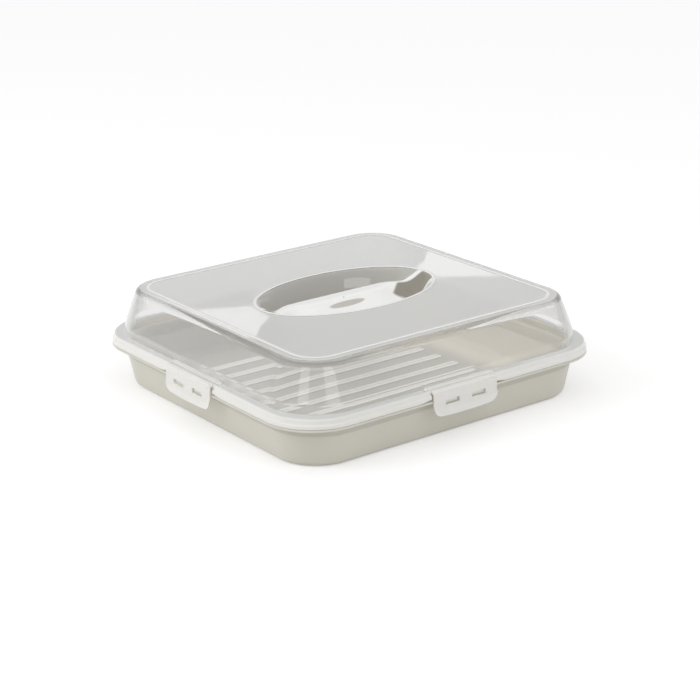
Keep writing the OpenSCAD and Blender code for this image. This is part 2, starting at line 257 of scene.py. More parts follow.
def makeTray():
    slope = math.tan(math.radians(tray["lean"]))
    outer = tray["foot"] + tray["footBend"] * math.tan(math.radians((90 - tray["lean"]) / 2))
    inner = outer - tray["wall"] / math.cos(math.radians(tray["lean"]))
    top, under, floor, step = tray["top"], tray["top"] - tray["lipThick"], tray["floor"], tray["step"]
    stepIn, stepOut = inner + step * slope, outer + step * slope
    floorEdge, foot, hollow = inner + floor * slope, tray["foot"], tray["hollow"]
    inside = rounded([
        (floorEdge - 14, floor, 0), (floorEdge, floor, tray["floorBend"]), (stepIn, step, 0.7),
        (stepIn + 1.0, step + 1.4, 0.8), (stepIn + 1.6, under - 3, 2), (stepIn + 4.0, top, 0.8),
        (stepIn + 4.6, top, 0)], 7)
    upIn, upOut, high, bend = (tray["upstand" + part] for part in ("In", "Out", "Top", "Round"))
    lip, lipRound = plan["rimInset"], tray["lipRound"]
    rim = rounded([
        (upIn - 0.1, top, 0), (upIn, top + 0.1, 0), (upIn, high, bend), (upOut, high, bend),
        (upOut, top, bend / 2), (lip, top, lipRound), (lip, under, lipRound), (lip - 3, under, 0)])
    outside = rounded([
        (stepOut + 4.6, under, 0), (stepOut + 1.4, under, 2.9), (stepOut + 0.9, step + 0.9, 0.6),
        (stepOut, step, 0.6), (outer, 0, tray["footBend"]), (foot - 4, 0, 0.5), (foot - 5, hollow, 0.5),
        (foot - 8, hollow, 0)], 7)
    rings = ringsOf(inside) + ringsOf(rim, True) + ringsOf(outside)
    flat = [[Vector((p.x * s, p.y * s, p.z)) for p in rings[0]] for s in tray["floorRings"]]
    flatUnder = [[Vector((p.x * s, p.y * s, p.z)) for p in rings[-1]] for s in reversed(tray["floorRings"])]
    outsidePlastic = creamPolypropylene("cream_polypropylene", *tray["outside"])
    insidePlastic = creamPolypropylene("cream_polypropylene_inside", *tray["inside"])
    piece = shellFrom("tray_shell", flat + rings + flatUnder, Vector((0, 0, floor * mm)),
                      Vector((0, 0, hollow * mm)), outsidePlastic)
    piece.data.materials.append(insidePlastic)
    # The second plastic is on the floor, and on what faces the middle between the floor and the lip's top. It
    # is painted darker than the outside, as painted shade inside the tray
    for face in piece.data.polygons:
        level, inward = face.center.z / mm, face.normal.xy.dot(face.center.xy) < 0
        upward = face.normal.z > 0.7 and level < step
        face.material_index = int(floor - 0.2 < level < top - 0.2 and (inward or upward))
    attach(piece, "tray")
    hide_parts("tray")


# Takes a tree, runs it on an empty mesh with the given inputs, and keeps the plain mesh that comes out on the
# tray
def growPiece(name, tree, values, bevel=0, sharp=40):
    holder = bpy.data.objects.new(name, bpy.data.meshes.new(name))
    bpy.context.scene.collection.objects.link(holder)
    modifier = holder.modifiers.new("grow", "NODES")
    modifier.node_group = tree
    sockets = {item.name: item.identifier for item in tree.interface.items_tree if item.in_out == "INPUT"}
    for socket, value in values.items():
        modifier[sockets[socket]] = value
    if bevel:
        edge = holder.modifiers.new("edge", "BEVEL")
        edge.width, edge.segments, edge.limit_method = bevel, 2, "ANGLE"
    mesh = bpy.data.meshes.new_from_object(holder.evaluated_get(bpy.context.evaluated_depsgraph_get()))
    holder.modifiers.clear()
    holder.data = mesh
    mesh.polygons.foreach_set("use_smooth", [True] * len(mesh.polygons))
    mesh.set_sharp_from_angle(angle=math.radians(sharp))
    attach(holder, "tray")


def newTree(name, inputs):
    tree = bpy.data.node_groups.new(name, "GeometryNodeTree")
    tree.interface.new_socket("Geometry", in_out="OUTPUT", socket_type="NodeSocketGeometry")
    for title, kind in inputs.items():
        tree.interface.new_socket(title, in_out="INPUT", socket_type=kind)
    return tree, addNode(tree, "NodeGroupInput").outputs


def endTree(tree, geometry, plastic):
    real = addNode(tree, "GeometryNodeRealizeInstances", {}, {"Geometry": geometry})
    done = addNode(tree, "GeometryNodeSetMaterial", {}, {"Geometry": real, "Material": plastic})
    addNode(tree, "NodeGroupOutput", {}, {0: done})


ribs = {
    "count": 9, "pitch": 26.5, "wide": 11.0, "high": 1.6, "long": 230.0,
    "groove": 1.6, "grooveDeep": 0.9,           # half its width, and its depth as a share of the height
    "segments": 56, "rings": 17,
    "plastic": ("#BDBAB4", "#B9B6AF", ("Z", 3.95, 4.25, "#F4F2EE")),        # painted darker as painted shade, like the floor; the crests carry a painted highlight
}


# Ribs: one ball is pulled out along X into a bar with a groove along its back, laid at even places along Y
def makeRibs():
    tree, given = newTree("floor_ribs", {
        "Ribs": "NodeSocketInt", "Pitch": "NodeSocketFloat", "Long": "NodeSocketFloat",
        "Size": "NodeSocketVector", "Level": "NodeSocketFloat", "Groove": "NodeSocketFloat",
        "Depth": "NodeSocketFloat", "Plastic": "NodeSocketMaterial"})
    ball = addNode(tree, "GeometryNodeMeshUVSphere", {}, {
        "Segments": ribs["segments"], "Rings": ribs["rings"], "Radius": 1.0})
    sized = addNode(tree, "GeometryNodeTransform", {}, {"Geometry": ball, "Scale": given["Size"]})
    place = addNode(tree, "GeometryNodeInputPosition")
    where = addNode(tree, "ShaderNodeSeparateXYZ", {}, {0: place}).outputs
    end = addNode(tree, "ShaderNodeMath", {"operation": "SIGN"}, {0: where["X"]})
    shift = addNode(tree, "ShaderNodeMath", {"operation": "MULTIPLY"}, {0: end, 1: given["Long"]})
    side = addNode(tree, "ShaderNodeMath", {"operation": "ABSOLUTE"}, {0: where["Y"]})
    deepest = addNode(tree, "ShaderNodeMath", {"operation": "MULTIPLY"}, {0: given["Depth"], 1: -1.0})
    depth = addNode(tree, "ShaderNodeMapRange", smoothly, {
        "Value": side, "From Max": given["Groove"], "To Min": deepest, "To Max": 0.0})
    sink = addNode(tree, "ShaderNodeMath", {"operation": "MULTIPLY"}, {0: where["Z"], 1: depth})
    pull = addNode(tree, "ShaderNodeCombineXYZ", {}, {"X": shift, "Z": sink})
    bar = addNode(tree, "GeometryNodeSetPosition", {}, {"Geometry": sized, "Offset": pull})
    gaps = addNode(tree, "ShaderNodeMath", {"operation": "SUBTRACT"}, {0: given["Ribs"], 1: 1.0})
    width = addNode(tree, "ShaderNodeMath", {"operation": "MULTIPLY"}, {0: gaps, 1: given["Pitch"]})
    first = addNode(tree, "ShaderNodeMath", {"operation": "MULTIPLY"}, {0: width, 1: -0.5})
    start = addNode(tree, "ShaderNodeCombineXYZ", {}, {"Y": first, "Z": given["Level"]})
    step = addNode(tree, "ShaderNodeCombineXYZ", {}, {"Y": given["Pitch"]})
    row = addNode(tree, "GeometryNodeMeshLine", {}, {
        "Count": given["Ribs"], "Start Location": start, "Offset": step})
    laid = addNode(tree, "GeometryNodeInstanceOnPoints", {}, {"Points": row, "Instance": bar})
    endTree(tree, laid, given["Plastic"])
    half = ribs["wide"] / 2
    growPiece("tray_ribs", tree, {
        "Ribs": ribs["count"], "Pitch": ribs["pitch"] * mm, "Long": (ribs["long"] / 2 - half) * mm,
        "Size": (half * mm, half * mm, ribs["high"] * mm), "Level": tray["floor"] * mm,
        "Groove": ribs["groove"] * mm, "Depth": ribs["grooveDeep"],
        "Plastic": creamPolypropylene("cream_polypropylene_ribs", *ribs["plastic"])})


lugs = {
    "along": 15.2, "long": 14.6, "high": 4.0, "deep": 9.0, "bevel": 0.35,
    "below": 2.6,           # the lip's top to the middle of a lug
    # Painted light: the lugs' plastic is painted far lighter than the tray's, as little lamp light reaches
    # them behind the clips
    "plastic": ("#F9F7F1", "#F6F4EC"),
}


# Lugs: a pair of blocks under the lip at the middle of each side, which the clips' windows frame
def makeLugs():
    tree, given = newTree("clip_lugs", {
        "Block": "NodeSocketVector", "Along": "NodeSocketFloat", "Level": "NodeSocketFloat",
        "Out X": "NodeSocketFloat", "Out Y": "NodeSocketFloat", "Plastic": "NodeSocketMaterial"})
    block = addNode(tree, "GeometryNodeMeshCube", {}, {"Size": given["Block"]})
    joined = addNode(tree, "GeometryNodeJoinGeometry")
    for turn in range(4):
        out = given["Out X"] if turn % 2 == 0 else given["Out Y"]
        for way in (1.0, -1.0):
            along = addNode(tree, "ShaderNodeMath", {"operation": "MULTIPLY"}, {0: given["Along"], 1: way})
            spot = addNode(tree, "ShaderNodeCombineXYZ", {}, {"X": out, "Y": along, "Z": given["Level"]})
            moved = addNode(tree, "GeometryNodeTransform", {}, {"Geometry": block, "Translation": spot})
            turned = addNode(tree, "GeometryNodeTransform", {}, {
                "Geometry": moved, "Rotation": (0, 0, turn * math.pi / 2)})
            tree.links.new(turned.outputs[0], joined.inputs[0])
    endTree(tree, joined, given["Plastic"])
    growPiece("tray_lugs", tree, {
        "Block": (lugs["deep"] * mm, lugs["long"] * mm, lugs["high"] * mm), "Along": lugs["along"] * mm,
        "Level": (tray["top"] - lugs["below"]) * mm, "Out X": (plan["lipX"] - lugs["deep"] / 2) * mm,
        "Out Y": (plan["lipY"] - lugs["deep"] / 2) * mm,
        "Plastic": creamPolypropylene("cream_polypropylene_lugs", *lugs["plastic"])}, lugs["bevel"] * mm)


makeTray()
makeRibs()
makeLugs()

print("hood")
hood = {
    "top": 94.5, "wall": 1.8, "foot": 50.0, "lean": 20.3, "bendLevel": 59.3, "shoulder": 13.0,
    "flange": 49.5, "flangeThick": 1.6, "skirtLow": 42.4, "skirtFace": 48.8, "skirtThick": 1.7,
    "crease": 2.8, "creaseHigh": 0.4, "bead": 0.7,
    "gripLong": 190.0, "gripWide": 115.0, "gripWall": 0.21, "gripLift": 0.15, "wellDeep": 27.0,
    "barDrop": 8.0, "barBack": 16.5, "barBend": 12.0, "bendFrom": 50.0, "bendTo": 90.0,
    "barRear": 9.5, "barFront": 27.0, "barTaper": 11.0, "taperFrom": 35.0, "taperTo": 65.0,
    "gapEdge": 2.9, "edgeCut": 0.3, "skirtLift": 1.5, "liftRun": 13.0,
    "landHigh": 2.2, "landHalf": 43.0, "landSlant": 4.0, "landEdge": 4.3, "landRun": 4.5, "landSoft": 1.5,
    "landFoot": 1.2,            # how far above the flange the wall follows the land
}


# The grey crescent on the bar, a painted reflection, and the small dot where the melt was let in: the middle
# and the half sizes of each, and the shares of those between which it fades in
def gateDotAndReflection(tree, place):
    crescent = ((-1.0, -3.0, 0.0), (21.5, 3.0, 1e3), (1.05, 0.85))
    dot = ((1.0, 5.5, 0.0), (1.1, 1.1, 1e3), (1.2, 0.7))
    masks = []
    for middle, size, (first, last) in (crescent, dot):
        moved = addNode(tree, "ShaderNodeVectorMath", {"operation": "SUBTRACT"}, {0: place, 1: middle})
        sized = addNode(tree, "ShaderNodeVectorMath", {"operation": "DIVIDE"}, {0: moved, 1: size})
        reach = addNode(tree, "ShaderNodeVectorMath", {"operation": "LENGTH"}, {0: sized})
        masks.append(addNode(tree, "ShaderNodeMapRange", smoothly, {
            "Value": reach, "From Min": first, "From Max": last}))
    return addNode(tree, "ShaderNodeMath", {"operation": "MAXIMUM"}, {0: masks[0], 1: masks[1]})


# Clarified polypropylene from a polished mould: clear and glossy, but with the haze that keeps it from
# looking like glass. The haze thickens where the eye looks along the sheet, and where the plastic is moulded
# thick, which is the rim. In the grip the haze is almost full and its tones are painted light and shade: the
# bar is painted white as painted light, the well's rear wall and its end hollows are painted darker as
# painted shade, and the crest carries a painted highlight. The shoulder is painted dark grey as a painted
# dark reflection, and the crease's bead is painted white as a painted highlight. Slow ripples of the flow
# bend the reflections a little.
def clearPolypropylene():
    look = {
        "glass": "#FFFFFF", "lamps": "#F3F3F3", "rimLamps": "#B4B1A8",
        "roughness": (0.02, 0.04),
        "flow": 45.5, "ripple": 0.01,               # across one ripple, and its height
        "slant": (0.3, 0.7), "haze": (0.07, 0.86),  # from face on to along the sheet
        "hazes": {"flange": 0.94, "grip": 0.95, "shoulder": 0.22, "bead": 1.0},      # where it is thick, at the flange; at the grip, the shoulder and the bead it carries painted light and shade
        # Each tone is laid over the ones before it
        # The shoulder's dark grey is a painted dark reflection, and the bead's white is a painted highlight
        "sheet": "#E1E1DF", "sheetTones": {"shoulder": "#9C9A96", "rim": "#F8F7F3", "bead": "#F7F7F5"},
        # The bar's white is painted light, the well's grey and the hollow's dark are painted shade, the
        # crest's white is a painted highlight, and the gate tone is the gate dot with a painted reflection
        "bar": "#FFFFFD",
        "barTones": {"well": "#C3C1BB", "gateAndReflection": "#CDCAC3", "hollow": "#9A968C", "crest": "#FFFFFD"},
        "hollowShift": 8.0, "hollowSplay": 1.45,    # the hollow at the right reaches further in
        # Where each mask starts and where it is full: levels, and distances from the crest of the bar and
        # from the middle of the hollows. The grip's is a share of its oval.
        "masks": {
            "rim": (51.15, 50.65), "flange": (51.65, 51.15), "bead": (94.52, 94.64),
            "overWall": (90.25, 92.75), "underTop": (94.45, 94.15),
            "well": (0.0, 3.0), "before": (-2.0, -5.0), "crest": (3.0, 1.0), "end": (62.0, 67.0),
            "grip": (1.0, 0.98)},
    }
    material, tree = newMaterial("clear_polypropylene")
    place = placeOf(tree)
    spot = addNode(tree, "ShaderNodeSeparateXYZ", {}, {0: place}).outputs
    flow = addNode(tree, "ShaderNodeTexNoise", {}, {
        "Vector": place, "Scale": 1 / look["flow"], "Detail": 1.0})
    rough = addNode(tree, "ShaderNodeMapRange", {}, {
        "Value": flow, "To Min": look["roughness"][0], "To Max": look["roughness"][1]})
    bump = addNode(tree, "ShaderNodeBump", {}, {
        "Height": flow, "Strength": 0.2, "Distance": look["ripple"] * mm})
    facing = addNode(tree, "ShaderNodeLayerWeight", {}, {"Blend": 0.5}).outputs["Facing"]
    haze = addNode(tree, "ShaderNodeMapRange", smoothly, {
        "Value": facing, "From Min": look["slant"][0], "From Max": look["slant"][1],
        "To Min": look["haze"][0], "To Max": look["haze"][1]})
    oval = addNode(tree, "ShaderNodeVectorMath", {"operation": "DIVIDE"}, {
        0: place, 1: (hood["gripLong"] / 2, hood["gripWide"] / 2, 1e6)})
    reach = addNode(tree, "ShaderNodeVectorMath", {"operation": "LENGTH"}, {0: oval})
    away = addNode(tree, "ShaderNodeMath", {"operation": "ABSOLUTE"}, {0: spot["X"]})
    crest = addNode(tree, "ShaderNodeMapRange", smoothly, {
        "Value": away, "From Min": hood["bendFrom"], "From Max": hood["bendTo"],
        "To Min": hood["barBack"], "To Max": hood["barBack"] - hood["barBend"]})
    behind = addNode(tree, "ShaderNodeMath", {"operation": "SUBTRACT"}, {0: spot["Y"], 1: crest})
    offCrest = addNode(tree, "ShaderNodeMath", {"operation": "ABSOLUTE"}, {0: behind})
    shifted = addNode(tree, "ShaderNodeMath", {"operation": "ADD"}, {0: spot["X"], 1: look["hollowShift"]})
    towards = addNode(tree, "ShaderNodeMath", {"operation": "ABSOLUTE"}, {0: shifted})
    aside = addNode(tree, "ShaderNodeMath", {"operation": "ABSOLUTE"}, {0: spot["Y"]})
    wedge = addNode(tree, "ShaderNodeMath", {"operation": "MULTIPLY_ADD"}, {
        0: aside, 1: -look["hollowSplay"], 2: towards})
    measured = {"grip": reach, "well": behind, "before": behind, "crest": offCrest, "end": wedge}
    masks = {"gateAndReflection": gateDotAndReflection(tree, place)}
    for part, (first, last) in look["masks"].items():
        masks[part] = addNode(tree, "ShaderNodeMapRange", smoothly, {
            "Value": measured.get(part, spot["Z"]), "From Min": first, "From Max": last})
    for part, first, second in (("shoulder", "overWall", "underTop"), ("hollow", "end", "before")):
        masks[part] = addNode(tree, "ShaderNodeMath", {"operation": "MULTIPLY"}, {
            0: masks[first], 1: masks[second]})
    for part, share in look["hazes"].items():
        thick = addNode(tree, "ShaderNodeMath", {"operation": "MULTIPLY"}, {0: masks[part], 1: share})
        haze = addNode(tree, "ShaderNodeMath", {"operation": "MAXIMUM"}, {0: haze, 1: thick})
    # The haze's colour: painted light and shade laid over the sheet and the bar
    sheet, bar = look["sheet"], look["bar"]
    for part, tone in look["sheetTones"].items():
        sheet = addNode(tree, "ShaderNodeMix", asColour, {0: masks[part], 6: sheet, 7: tone})
    for part, tone in look["barTones"].items():
        bar = addNode(tree, "ShaderNodeMix", asColour, {0: masks[part], 6: bar, 7: tone})
    cloudy = addNode(tree, "ShaderNodeMix", asColour, {0: masks["grip"], 6: sheet, 7: bar})
    common = {"Roughness": rough, "IOR": ior, "Normal": bump}
    glass = addNode(tree, "ShaderNodeBsdfPrincipled", {}, {
        "Base Color": look["glass"], "Transmission Weight": 1.0, **common})
    cloud = addNode(tree, "ShaderNodeBsdfPrincipled", {}, {"Base Color": cloudy, **common})
    body = addNode(tree, "ShaderNodeMixShader", {}, {0: haze, 1: glass, 2: cloud})
    tint = addNode(tree, "ShaderNodeMix", asColour, {0: masks["rim"], 6: look["lamps"], 7: look["rimLamps"]})
    letLampsThrough(tree, body, tint)
    return material


# Depth of the grip: an oval well with a bar across it, steep behind, broad in front, whose ends come forward
def gripDrop(x, y):
    share = math.hypot(x / (hood["gripLong"] / 2), y / (hood["gripWide"] / 2))
    wall = smooth(1 - share, 0, hood["gripWall"])
    crest = hood["barBack"] - hood["barBend"] * smooth(abs(x), hood["bendFrom"], hood["bendTo"])
    front = hood["barFront"] - hood["barTaper"] * smooth(abs(x), hood["taperFrom"], hood["taperTo"])
    half = hood["barRear"] if y > crest else front
    bar = 1 / (1 + (abs(y - crest) / half) ** 4)
    keep = hood["barDrop"] / hood["wellDeep"]
    return hood["wellDeep"] * wall * (1 - (1 - keep) * bar)


def gripPoint(x, y, under, near=0.2):
    level = hood["top"] + hood["gripLift"] - gripDrop(x, y)
    if not under:
        return Vector((x, y, level)) * mm
    slopeX = (gripDrop(x + near, y) - gripDrop(x - near, y)) / (2 * near)
    slopeY = (gripDrop(x, y + near) - gripDrop(x, y - near)) / (2 * near)
    normal = Vector((slopeX, slopeY, 1)).normalized()
    return (Vector((x, y, level)) - normal * hood["wall"]) * mm


# A ring round the grip, at a share of the oval's size and a distance out of it. Without a level it follows
# the well
def ovalRing(share, out, up=None, under=False):
    ring = []
    for column in columns:
        point = placeOn(column, 25, 0)
        angle = math.atan2(point.y / hood["gripWide"], point.x / hood["gripLong"])
        x = (share * hood["gripLong"] / 2 + out) * math.cos(angle)
        y = (share * hood["gripWide"] / 2 + out) * math.sin(angle)
        ring.append(gripPoint(x, y, under) if up is None else Vector((x, y, hood["top"] + up)) * mm)
    return ring


def blendRings(first, second, shares):
    return [[a.lerp(b, s) for a, b in zip(first, second)] for s in shares]


# Above each clip a land slopes up from the hinge to the wall, with slanted ends. Inset is the distance from
# the lip
def landRise(column, inset):
    if column[1] is None:
        return 0
    end = hood["landHalf"] - hood["landSlant"] * (inset - hood["landEdge"]) / hood["landEdge"]
    slope = max(0, min(1, (inset - hood["landEdge"]) / hood["landRun"]))
    return hood["landHigh"] * slope * (1 - smooth(abs(column[1]), end, end + hood["landSoft"]))


# The rim of the hood: where a clip hangs the skirt stops, and the flange ends in a short edge
def rimRings(line):
    top, low = hood["flange"] + hood["flangeThick"], hood["flange"]
    edge, cut, gap = plan["rimInset"] - hood["gapEdge"], hood["edgeCut"], plan["clipHalf"]
    short = [(line[0][0], top), (edge - cut, top), (edge, top - cut), (edge, low + cut), (edge - cut, low),
             (line[-1][0], low)]
    spans = [math.dist(a, b) for a, b in zip(short, short[1:])]
    rings = []
    for i, (radius, height) in enumerate(line):
        target, walked = sum(spans) * i / (len(line) - 1), 0
        for (a, b), span in zip(zip(short, short[1:]), spans):
            if target <= walked + span + 1e-9:
                t = (target - walked) / span
                onEdge = (a[0] + (b[0] - a[0]) * t, a[1] + (b[1] - a[1]) * t)
                break
            walked += span
        ring = []
        for column in columns:
            along = math.inf if column[1] is None else abs(column[1])
            lift = hood["skirtLift"] * (1 - smooth(along, gap, gap + hood["liftRun"]))
            share = max(0, min(1, (hood["flange"] - height) / (hood["flange"] - hood["skirtLow"])))
            out, level = onEdge if along < gap else (radius, height + lift * share)
            rise = landRise(column, plan["rimInset"] - out) if level > top - 0.4 else 0
            ring.append(placeOn(column, out, level + rise, True))
        rings.append(ring)
    return rings


def makeHood():
    lean = math.tan(math.radians(hood["lean"]))
    top, thick, foot, bend, flange = (hood[part] for part in ("top", "wall", "foot", "bendLevel", "flange"))
    topEdge = foot - (top - bend) * lean
    shoulderEdge = topEdge - hood["shoulder"] * math.tan(math.radians((90 - hood["lean"]) / 2))
    crease, high = shoulderEdge - hood["crease"], hood["creaseHigh"]
    flangeTop = flange + hood["flangeThick"]
    offset = thick / math.cos(math.radians(hood["lean"]))
    creaseLine = [(-2.0, 0.0), (-0.6, 0.0), (0.0, 0.8), (0.8, 1.0), (1.8, 0.8), (2.5, 0.0)]
    outer = [(crease + out, top + high * share) for out, share in creaseLine] + rounded([
        (shoulderEdge, top, 0), (topEdge, top, hood["shoulder"]), (foot, bend, 7), (foot, flangeTop, 0.8),
        (foot + 2.0, flangeTop, 0)], 9)
    inner = rounded([
        (foot + 1.0, flange, 0), (foot - thick, flange, 0.5), (foot - thick, bend - 0.3, 6),
        (topEdge - offset + thick * lean, top - thick, hood["shoulder"] - thick),
        (crease - 2, top - thick, 0)], 9)
    low, face, wall, lip = hood["skirtLow"], hood["skirtFace"], hood["skirtThick"], plan["rimInset"]
    rim = rounded([
        (face - 3, flangeTop, 0), (face, flangeTop, 1.6), (face + 0.1, low + 4.4, 1.2),
        (lip - 0.4, low + 3.2, 0.6), (lip, low, 0.5), (lip - wall, low, 0.4),
        (lip - 0.4 - wall, low + 2.6, 0.6), (face - wall, low + 4.2, 1), (face - wall, flange, 0.4),
        (face - 3, flange, 0)], 3)
    wells = [0.05] + [0.1 + 0.6 * i / 14 for i in range(14)] + [0.7 + 0.3 * i / 16 for i in range(17)]
    beadLine = [(0.7, 0.8), (1.4, 1.0), (2.0, 0.6), (2.6, 0.0), (4.0, 0.0)]
    bead = [ovalRing(1, out, hood["bead"] * share) for out, share in beadLine]
    outerRings = ringsOf(outer)
    for ring, (radius, height) in zip(outerRings, outer):
        if height < flangeTop + hood["landFoot"]:
            for column, point in zip(columns, ring):
                point.z += landRise(column, plan["wallInset"] - radius) * mm
    innerRings = ringsOf(inner)
    rings = [ovalRing(share, 0) for share in wells] + bead
    rings += blendRings(bead[-1], outerRings[0], (0.2, 0.4, 0.6, 0.8))
    rings += outerRings + rimRings(rim) + innerRings
    rings += blendRings(innerRings[-1], ovalRing(1, 2.4, -thick), (0.3, 0.6, 0.85, 1))
    rings += [ovalRing(share, 0, under=True) for share in reversed(wells)]
    middle, underMiddle = gripPoint(0, 0, False), gripPoint(0, 0, True)
    piece = shellFrom("hood_shell", rings, middle, underMiddle, clearPolypropylene())
    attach(piece, "hood")
    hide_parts("hood")


makeHood()

print("clips")


# Natural polypropylene, moulded thick: milky and half clear, glossy, a little cloudier inside
def milkyPolypropylene():
    look = {
        "light": "#FBF9F5", "cloud": "#F6F4EF", "lamps": "#E6E6E2", "roughness": (0.17, 0.25),
        "through": 0.1, "clouds": 8.33,             # how clear it is, and the millimetres across one cloud
    }
    material, tree = newMaterial("milky_polypropylene")
    cloud = addNode(tree, "ShaderNodeTexNoise", {}, {
        "Vector": placeOf(tree), "Scale": 1 / look["clouds"], "Detail": 2.0})
    rough = addNode(tree, "ShaderNodeMapRange", {}, {
        "Value": cloud, "To Min": look["roughness"][0], "To Max": look["roughness"][1]})
    tone = addNode(tree, "ShaderNodeMix", asColour, {0: cloud, 6: look["light"], 7: look["cloud"]})
    shader = addNode(tree, "ShaderNodeBsdfPrincipled", {}, {
        "Base Color": tone, "Roughness": rough, "IOR": ior, "Transmission Weight": look["through"]})
    letLampsThrough(tree, shader, look["lamps"])
    return material


clip = {
    "long": 72.5, "thick": 1.8, "low": 27.5, "corner": 8.0, "bow": 1.4, "bowTop": 41.5, "gap": 0.3,
    "hingeOut": -1.9, "hingeLevel": 50.4, "hingeRadius": 0.9, "webHalf": 0.6,
    "groove": 48.6, "grooveDeep": 0.3, "lowerLip": 1.05,
    "topRound": 2.0, "topDrop": 2.2, "edgeRound": 0.3, "edgeThin": 0.25,
    "windowAlong": 15.2, "windowLong": 16.0, "windowHigh": 5.0, "windowLevel": 39.0, "windowRound": 1.0,
}


# Level of a clip's lower edge: bowed, and round at the corners
def clipLow(along):
    half, corner = clip["long"] / 2, clip["corner"]
    level = clip["low"] - clip["bow"] * (1 - (along / half) ** 2)
    over = max(0, abs(along) - (half - corner))
    return level + corner - math.sqrt(max(0, corner ** 2 - over ** 2))


# Outline of a clip, seen from its end: the plate, and the bead that it hangs by
def clipSection():
    inner, outer, low, thickLip = clip["gap"], clip["gap"] + clip["thick"], clip["low"], clip["lowerLip"]
    hinge, level, radius = clip["hingeOut"], clip["hingeLevel"], clip["hingeRadius"]
    top, under = level + clip["webHalf"], level - clip["webHalf"]
    groove, deep = clip["groove"], clip["grooveDeep"]
    plate = rounded([
        (hinge + radius, top, 0), (outer, top, 0.9), (outer, groove, 0), (outer - deep, groove - deep, 0),
        (outer, groove - 2 * deep, 0), (outer, low + 6, 3), (outer + thickLip, low + 1.0, 1.5),
        (outer + thickLip, low, 0.5), (inner + 0.9, low, 0.5), (inner + 0.7, low + 2, 1.5),
        (inner, low + 5.5, 3), (inner, under, 0.3), (hinge + radius, under, 0)], 4)
    turns = [math.radians(turn) for turn in range(320, 40, -20)]
    return plate + [(hinge + radius * math.cos(turn), level + radius * math.sin(turn)) for turn in turns]


def makeClip(node, side, plastic):
    half, corner, low = clip["long"] / 2, clip["corner"], clip["low"]
    section = clipSection()
    places = [(half - corner) * i / 10 for i in range(10)]
    places += [half - corner + corner * math.sin(math.radians(a)) for a in range(0, 81, 8)] + [half - 0.02]
    loops = []
    for along in sorted([-p for p in places if p > 0] + places):
        thin = max(0, abs(along) - (half - clip["edgeRound"])) / clip["edgeRound"] * clip["edgeThin"]
        drop = clip["topDrop"] * (max(0, abs(along) - half + clip["topRound"]) / clip["topRound"]) ** 2
        loop = []
        for out, level in section:
            share = max(0, min(1, (clip["bowTop"] - level) / (clip["bowTop"] - low)))
            level += (clipLow(along) - low) * share
            out += -thin if out > clip["gap"] + clip["thick"] / 2 else thin
            loop.append((out, along, min(level, clip["hingeLevel"] + clip["webHalf"] - drop)))
        loops.append(loop)
    reach = plan["lipX"] if side % 2 == 0 else plan["lipY"]
    turn = Matrix.Rotation(side * math.pi / 2, 4, "Z")
    verts = [turn @ (Vector((reach + o, a, z)) * mm) for loop in loops for o, a, z in loop]
    count = len(section)
    faces = [tuple(range(count)), tuple(range(len(verts) - 1, len(verts) - 1 - count, -1))]
    for i in range(len(loops) - 1):
        for j in range(count):
            k = (j + 1) % count
            faces.append((i * count + j, i * count + k, (i + 1) * count + k, (i + 1) * count + j))
    piece = finishMesh(node + "_flap", verts, faces, plastic)
    cutWindows(piece, reach, turn)
    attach(piece, node)
    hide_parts(node)


def cutWindows(piece, reach, turn, through=8, sharp=38):
    work = bmesh.new()
    for way in (1, -1):
        made = bmesh.ops.create_cube(work, size=1)["verts"]
        size = Matrix.Diagonal((through * mm, clip["windowLong"] * mm, clip["windowHigh"] * mm, 1))
        spot = Matrix.Translation(Vector((reach + 1, way * clip["windowAlong"], clip["windowLevel"])) * mm)
        bmesh.ops.transform(work, matrix=turn @ spot @ size, verts=made)
        corners = [edge for edge in work.edges if edge.verts[0] in made and abs(
            (turn.inverted() @ (edge.verts[1].co - edge.verts[0].co)).x) > through / 2 * mm]
        bmesh.ops.bevel(work, geom=corners, offset=clip["windowRound"] * mm, segments=4, profile=0.5,
                        affect="EDGES")
    bmesh.ops.recalc_face_normals(work, faces=work.faces)
    cutter = bpy.data.objects.new("cutter", bpy.data.meshes.new("cutter"))
    work.to_mesh(cutter.data)
    work.free()
    bpy.context.scene.collection.objects.link(cutter)
    modifier = piece.modifiers.new("windows", "BOOLEAN")
    modifier.object, modifier.operation, modifier.solver = cutter, "DIFFERENCE", "EXACT"
    mesh = bpy.data.meshes.new_from_object(piece.evaluated_get(bpy.context.evaluated_depsgraph_get()))
    piece.modifiers.clear()
    piece.data = mesh
    mesh.set_sharp_from_angle(angle=math.radians(sharp))
    bpy.data.objects.remove(cutter)


milkyPlastic = milkyPolypropylene()
for side, node in enumerate(("clip_right", "clip_back", "clip_left", "clip_front")):
    makeClip(node, side, milkyPlastic)

print("studio")
# The studio's sizes and places are in metres, and its turns in degrees
view = {
    "lens": 97.447, "sensor": 36.0, "azimuth": -36.84, "elevation": 19.484, "roll": -0.85,
    "place": (-1.0178, -1.3633, 0.6365),
}
azimuth, elevation, roll = (math.radians(view[turn]) for turn in ("azimuth", "elevation", "roll"))
forward = Vector((-math.sin(azimuth), math.cos(azimuth), 0))
sideways = Vector((math.cos(azimuth), math.sin(azimuth), 0))


def makeCamera():
    gaze = forward * math.cos(elevation) - Vector((0, 0, math.sin(elevation)))
    up = sideways.cross(gaze)
    right = sideways * math.cos(roll) + up * math.sin(roll)
    upward = up * math.cos(roll) - sideways * math.sin(roll)
    camera = bpy.data.objects.new("camera", bpy.data.cameras.new("camera"))
    camera.data.lens, camera.data.sensor_width = view["lens"], view["sensor"]
    axes = Matrix((right, upward, -gaze)).transposed().to_4x4()
    camera.matrix_world = Matrix.Translation(Vector(view["place"])) @ axes
    bpy.context.scene.collection.objects.link(camera)
    bpy.context.scene.camera = camera


